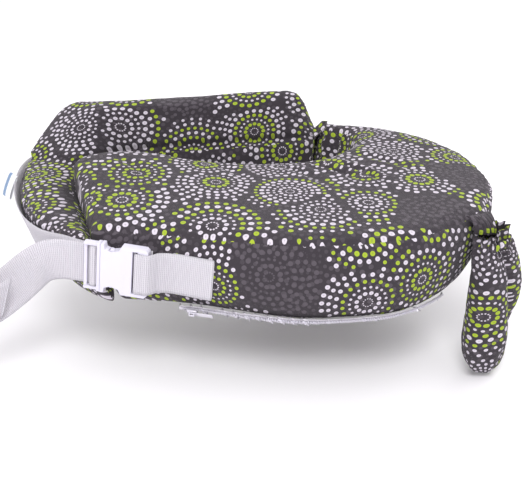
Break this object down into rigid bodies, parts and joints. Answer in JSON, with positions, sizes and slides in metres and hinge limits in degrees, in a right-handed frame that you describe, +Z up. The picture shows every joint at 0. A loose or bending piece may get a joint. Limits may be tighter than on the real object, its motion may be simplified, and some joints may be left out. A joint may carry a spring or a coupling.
{
  "type": "nursing pillow",
  "caption": "Wrap-around nursing pillow: firm C-shaped cushion with raised lumbar ridge, printed zip-off cover, webbing belt with side-release buckle, and gathered side pouch.",
  "frame": {"origin": "middle of the waist opening, at the level of the cushion's flat underside", "axes": "+X along the back rest to the right, seen from the wearer's front edge; +Y from the front edge towards the back rest; +Z up"},
  "size_m": [0.6676, 0.4594, 0.26],
  "materials": {
    "printed_cotton": "matte plain weave, charcoal with rings of lilac-white and lime dots",
    "foam": "matte open-cell foam",
    "webbing": "matte ribbed white webbing",
    "buckle_plastic": "smooth satin white plastic",
    "zip_metal": "white enamel",
    "zip_tape": "matte woven tape with coil teeth",
    "label_tape": "smooth satin tape"
  },
  "bodies": {
    "cushion": {"feeding_foam": "foam", "feeding_top_panel": "printed_cotton", "feeding_outer_band": "printed_cotton", "feeding_inner_band": "printed_cotton", "feeding_underside_panel": "printed_cotton", "feeding_end_panels": "printed_cotton", "hinge_gusset": "printed_cotton", "belt_bridge": "webbing", "tab_webbing": "webbing", "tab_stitch_patch": "webbing", "buckle_socket": "buckle_plastic", "pouch_tab": "printed_cotton", "zip_tape": "zip_tape", "zip_chain": "zip_tape", "zip_end_stops": "zip_metal"},
    "back_rest": {"back_foam": "foam", "lumbar_ridge_foam": "foam", "back_top_panel": "printed_cotton", "back_outer_band": "printed_cotton", "back_inner_band": "printed_cotton", "back_underside_panel": "printed_cotton", "back_end_panel": "printed_cotton", "ridge_cover": "printed_cotton", "waist_belt": "webbing", "belt_end_patch": "webbing", "care_label": "label_tape"},
    "plug": {"buckle_plug": "buckle_plastic", "belt_tail": "webbing", "tail_hem": "webbing"},
    "latch_upper": {"latch_arm_upper": "buckle_plastic"},
    "latch_lower": {"latch_arm_lower": "buckle_plastic"},
    "pouch": {"pouch_bag": "printed_cotton", "pouch_neck_elastic": "printed_cotton"},
    "slider": {"zip_slider": "zip_metal"},
    "pull": {"zip_pull": "zip_metal"}
  },
  "joints": [
    {"name": "back_rest_swing", "type": "hinge", "parent": "cushion", "child": "back_rest", "pos_m": [0.126, 0.112, 0.05], "axis": [0, 0, -1], "range_deg": [0, 20], "stiffness_Nm_per_rad": 1.5, "deforming": ["hinge_gusset", "belt_bridge"]},
    {"name": "buckle_release", "type": "slide", "parent": "cushion", "child": "plug", "axis": [-0.9213, 0.3778, 0.0924], "range_m": [0, 0.045], "deforming": ["latch_arm_upper", "latch_arm_lower"]},
    {"name": "latch_upper_press", "type": "hinge", "parent": "plug", "child": "latch_upper", "pos_m": [-0.21959, -0.24, 0.07649], "axis": [0.3795, 0.9252, 0], "range_deg": [0, 7], "stiffness_Nm_per_rad": 0.02},
    {"name": "latch_lower_press", "type": "hinge", "parent": "plug", "child": "latch_lower", "pos_m": [-0.22232, -0.23887, 0.04463], "axis": [-0.3795, -0.9252, 0], "range_deg": [0, 7], "stiffness_Nm_per_rad": 0.02},
    {"name": "pouch_swing", "type": "hinge", "parent": "cushion", "child": "pouch", "pos_m": [0.2291, -0.2877, 0.0822], "axis": [-0.7826, -0.6225, 0], "range_deg": [0, 40], "deforming": ["pouch_tab"]},
    {"name": "zip_slide", "type": "slide", "parent": "cushion", "child": "slider", "axis": [0.8819, -0.4714, 0], "range_m": [0, 0.04]},
    {"name": "zip_pull_flip", "type": "hinge", "parent": "slider", "child": "pull", "pos_m": [-0.12364, -0.25945, -0.00175], "axis": [0.3154, 0.5901, -0.7431], "range_deg": [0, 150]}
  ]
}
